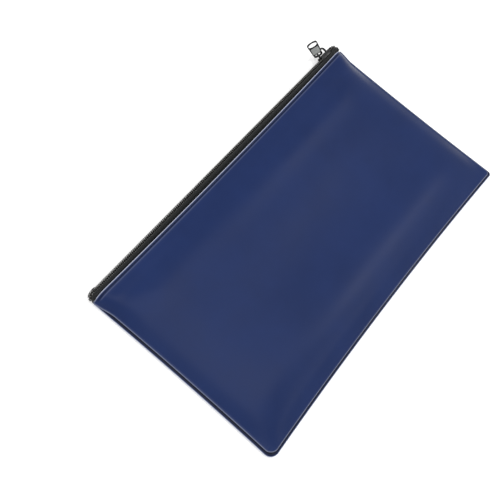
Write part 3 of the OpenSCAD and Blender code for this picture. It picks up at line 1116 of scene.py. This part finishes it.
def thread(name, colour):
    """Twisted sewing thread."""
    found = bpy.data.materials.get(name)
    if found:
        return found
    material, nodes, links, shader = blank_material(name)
    coords = nodes.new("ShaderNodeTexCoord")
    twist = nodes.new("ShaderNodeTexWave")
    twist.bands_direction = "DIAGONAL"
    twist.inputs["Scale"].default_value = 1500
    links.new(coords.outputs["Object"], twist.inputs["Vector"])
    mixed(nodes, links, twist.outputs["Fac"], shaded(colour, 0.7), shaded(colour, 1.5),
          shader.inputs["Base Color"])
    shader.inputs["Roughness"].default_value = 0.7
    shader.inputs["Specular IOR Level"].default_value = 0.2
    raised(nodes, links, twist.outputs["Fac"], 0.06 * MM, shader)
    return material


def navy_thread():
    return thread("Navy Thread", tuple(bag().stitch.colour))


def black_thread():
    return thread("Black Thread", tuple(bag().zip.tape_colour))


def metal(name, colour, metallic, coat):
    """Die-cast metal with faint casting marks, lacquered or worn bare."""
    found = bpy.data.materials.get(name)
    if found:
        return found
    material, nodes, links, shader = blank_material(name)
    grain = grained(nodes, 3200, 420)
    mixed(nodes, links, grain.outputs["Marks"], shaded(colour, 0.8), shaded(colour, 1.25),
          shader.inputs["Base Color"])
    ranged(nodes, links, grain.outputs["Marks"], 0.3, 0.44, shader.inputs["Roughness"])
    raised(nodes, links, grain.outputs["Height"], 0.01 * MM, shader, 0.5)
    shader.inputs["Metallic"].default_value = metallic
    shader.inputs["Specular IOR Level"].default_value = 0.25
    shader.inputs["Coat Weight"].default_value = coat
    shader.inputs["Coat Roughness"].default_value = 0.12
    return material


def lacquer():
    return metal("Black Lacquer", tuple(bag().slider.colour), 0.0, 0.05)


def worn_metal():
    return metal("Worn Metal", tuple(bag().slider.worn_colour), 0.1, 0.0)


# ---- Operators ----

class BuildPanels(bpy.types.Operator):
    """Cut, hem and turn the front and back panels"""
    bl_idname = "deposit_bag.panels"
    bl_label = "Panels"

    def execute(self, context):
        back = panel_sheet("back_sheet", back_height, -1)
        fitted(back, "back", "back_panel", "vinyl", vinyl())
        front = panel_sheet("front_sheet", front_height, 1)
        for half in opening_with_mouth(front, "front_panel", "vinyl", vinyl()):
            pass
        return {"FINISHED"}


class BuildZip(bpy.types.Operator):
    """Weave the tapes, wind the coils and sew them together"""
    bl_idname = "deposit_bag.zip"
    bl_label = "Zip"

    def execute(self, context):
        kinds = (("tape", zip_tape, "zip_tape", woven_tape),
                 ("coil", coil, "zip_coil", nylon),
                 ("filler_cord", filler_cord, "zip_tape", woven_tape),
                 ("coil_thread", coil_thread, "black_thread", black_thread))
        for word, make, slot, material in kinds:
            back = make(f"zip_back_{word}", -1)
            fitted(back, "back", f"back_{word}", slot, material())
            front = make(f"zip_front_{word}", 1)
            halves = opening_with_mouth(front, f"front_{word}", slot, material())
        for word, end in (("left", -1), ("right", 1)):
            tack = end_tack(f"zip_{word}_tack", end)
            fitted(tack, "back", f"{word}_end_tack", "black_thread", black_thread())
        return {"FINISHED"}


class BuildSlider(bpy.types.Operator):
    """Cast the slider and its pull"""
    bl_idname = "deposit_bag.slider"
    bl_label = "Slider"

    def execute(self, context):
        slider = slider_mesh("slider")
        fitted(slider, "slider", "slider_body", "slider_metal", lacquer())
        pull = pull_mesh("pull")
        fitted(pull, "pull", "pull_tab", "slider_metal", lacquer())
        web = pull_web("pull_web")
        fitted(web, "pull", "pull_tab", "slider_metal", worn_metal())
        return {"FINISHED"}


class BuildStitching(bpy.types.Operator):
    """Sew the hems and the three seams"""
    bl_idname = "deposit_bag.stitching"
    bl_label = "Stitching"

    def execute(self, context):
        radius = bag().stitch.radius
        along_x = (1, 0, 0)
        along_y = (0, 1, 0)
        under_hem = 2.5 * MM

        def sewn(thread_row, body, node):
            """A row on the front is split into two halves at the middle, and one on the back rides on the
            back.
            """
            if body == "front":
                opening_with_mouth(thread_row, node, "navy_thread", navy_thread())
            else:
                fitted(thread_row, body, node, "navy_thread", navy_thread())

        def below_front_hem(x, y):
            return FRONT_HEM_Z - under_hem

        def above_back_hem(x, y):
            return BACK_HEM_Z + under_hem

        hems = (("front", "needle", front_height, 0), ("front", "bobbin", below_front_hem, 0),
                ("back", "needle", back_height, -0.2 * radius), ("back", "bobbin", above_back_hem, 0))
        for body, word, height, lift in hems:
            name = f"{body}_hem_{word}"
            sewn(stitches(name, hem_places(height, lift), along_x), body, f"{name}_thread")

        sides = row(2 * HALF_W - 24 * MM)
        bottom = row(2 * HALF_L - 20 * MM)
        layers = (("back", SEAM_Z - 1.2 * MM), ("front", SEAM_Z + 1.2 * MM))
        for body, z in layers:
            # The side seams hold the front to the back, so both their rows stay with the back
            for word, end in (("left", -1), ("right", 1)):
                points = [(end * (HALF_L - SEAM_INSET), y - 2 * MM) for y in sides]
                name = f"{body}_{word}_seam"
                sewn(stitches(name, flat_places(points, z), along_y), "back", f"{name}_thread")
            points = [(x, SEAM_INSET - HALF_W) for x in bottom]
            name = f"{body}_bottom_seam"
            sewn(stitches(name, flat_places(points, z), along_x), body, f"{name}_thread")
        return {"FINISHED"}


# Each soft light: its place and what it looks at, its width and height, and its share of the key
LIGHTS = (
    ("Overhead", (0.55, -0.3, 1.0), (0, 0, 0), 0.3, 0.2, 1.3),
    ("End Side", (-0.22, -0.02, 1.0), (-0.1, 0, 0), 0.4, 0.9, 1.6),
    ("Seam Side", (0.3, -0.95, 1.0), (0, -0.07, 0), 0.9, 0.3, 1.1),
    ("Zip Side", (-0.1, 0.95, 0.3), (0, 0.05, 0), 0.6, 0.16, 1.0),
    ("Near Side", (-0.62, 0.3, 0.9), (0, 0, 0), 0.4, 0.4, 0.25),
)


def pale_floor(colour):
    material, nodes, links, shader = blank_material("Pale Floor")
    grain = nodes.new("ShaderNodeGroup")
    grain.node_tree = grain_group()
    mixed(nodes, links, grain.outputs["Marks"], shaded(colour, 0.99), colour,
          shader.inputs["Base Color"])
    shader.inputs["Roughness"].default_value = 0.8
    shader.inputs["Emission Color"].default_value = (1, 1, 1, 1)
    shader.inputs["Emission Strength"].default_value = 0.2
    return material


def soft_light(name, place, target, width, height, power):
    light = bpy.data.lights.new(name, "AREA")
    light.shape = "RECTANGLE"
    light.size = width
    light.size_y = height
    light.energy = power
    obj = shown(name, light)
    obj.location = place
    aim = Vector(target) - Vector(place)
    obj.rotation_euler = aim.to_track_quat("-Z", "Y").to_euler()


def camera_on(target, azimuth, elevation, roll, distance):
    """A camera that looks down at target from an azimuth and an elevation, in degrees."""
    azimuth = math.radians(azimuth)
    elevation = math.radians(elevation)
    camera = bpy.data.cameras.new("Camera")
    camera.sensor_width = 36
    camera.lens = 44.64         # millimetres, like the sensor
    camera.clip_start = 0.01
    view = shown("Camera", camera)
    direction = Vector((math.cos(elevation) * math.cos(azimuth),
                        math.cos(elevation) * math.sin(azimuth), math.sin(elevation)))
    level = (-direction).to_track_quat("-Z", "Y").to_matrix().to_4x4()
    view.matrix_world = (Matrix.Translation(target + direction * distance) @ level
                         @ Matrix.Rotation(math.radians(roll), 4, "Z"))
    return view


class BuildStage(bpy.types.Operator):
    """Set the floor, the soft lights and the camera"""
    bl_idname = "deposit_bag.stage"
    bl_label = "Stage"

    def execute(self, context):
        stage = bag().stage
        scene = context.scene
        bm = bmesh.new()
        bmesh.ops.create_grid(bm, x_segments=8, y_segments=8, size=3)
        bmesh.ops.translate(bm, verts=bm.verts, vec=(0, 0, -0.05 * MM))
        floor = to_object(bm, "floor")
        floor.data.materials.append(pale_floor(tuple(stage.floor_colour)))

        world = bpy.data.worlds.new("Soft Room")
        world.use_nodes = True
        background = world.node_tree.nodes["Background"]
        background.inputs["Color"].default_value = (1, 1, 1, 1)
        background.inputs["Strength"].default_value = stage.fill
        scene.world = world
        for name, place, target, width, height, share in LIGHTS:
            soft_light(name, place, target, width, height, stage.key * share)

        target = Vector((-38.9 * MM, 24.3 * MM, 0))
        scene.camera = camera_on(target, azimuth=194.7, elevation=69.9, roll=26.4, distance=0.442)
        scene.view_settings.view_transform = "Standard"
        return {"FINISHED"}


STEPS = (BuildPanels, BuildZip, BuildSlider, BuildStitching, BuildStage)


class BagPanel(bpy.types.Panel):
    """Lists the steps and the sizes of the bag"""
    bl_idname = "VIEW3D_PT_deposit_bag"
    bl_label = "Deposit Bag"
    bl_space_type = "VIEW_3D"
    bl_region_type = "UI"
    bl_category = "Deposit Bag"

    def draw(self, context):
        layout = self.layout
        settings = context.scene.deposit_bag
        for group in (settings.sheet, settings.zip, settings.slider, settings.stitch,
                      settings.stage):
            box = layout.box()
            for name in group.__annotations__:
                box.prop(group, name)
        for step in STEPS:
            layout.operator(step.bl_idname)


CLASSES = SETTINGS + (BagSettings,) + STEPS + (BagPanel,)


def register():
    for cls in CLASSES:
        bpy.utils.register_class(cls)
    bpy.types.Scene.deposit_bag = bpy.props.PointerProperty(type=BagSettings)


def unregister():
    del bpy.types.Scene.deposit_bag
    for cls in reversed(CLASSES):
        bpy.utils.unregister_class(cls)


def main():
    register()
    bpy.ops.deposit_bag.stage()
    bpy.ops.deposit_bag.panels()
    bpy.ops.deposit_bag.zip()
    bpy.ops.deposit_bag.slider()
    bpy.ops.deposit_bag.stitching()


if __name__ == "__main__":
    main()
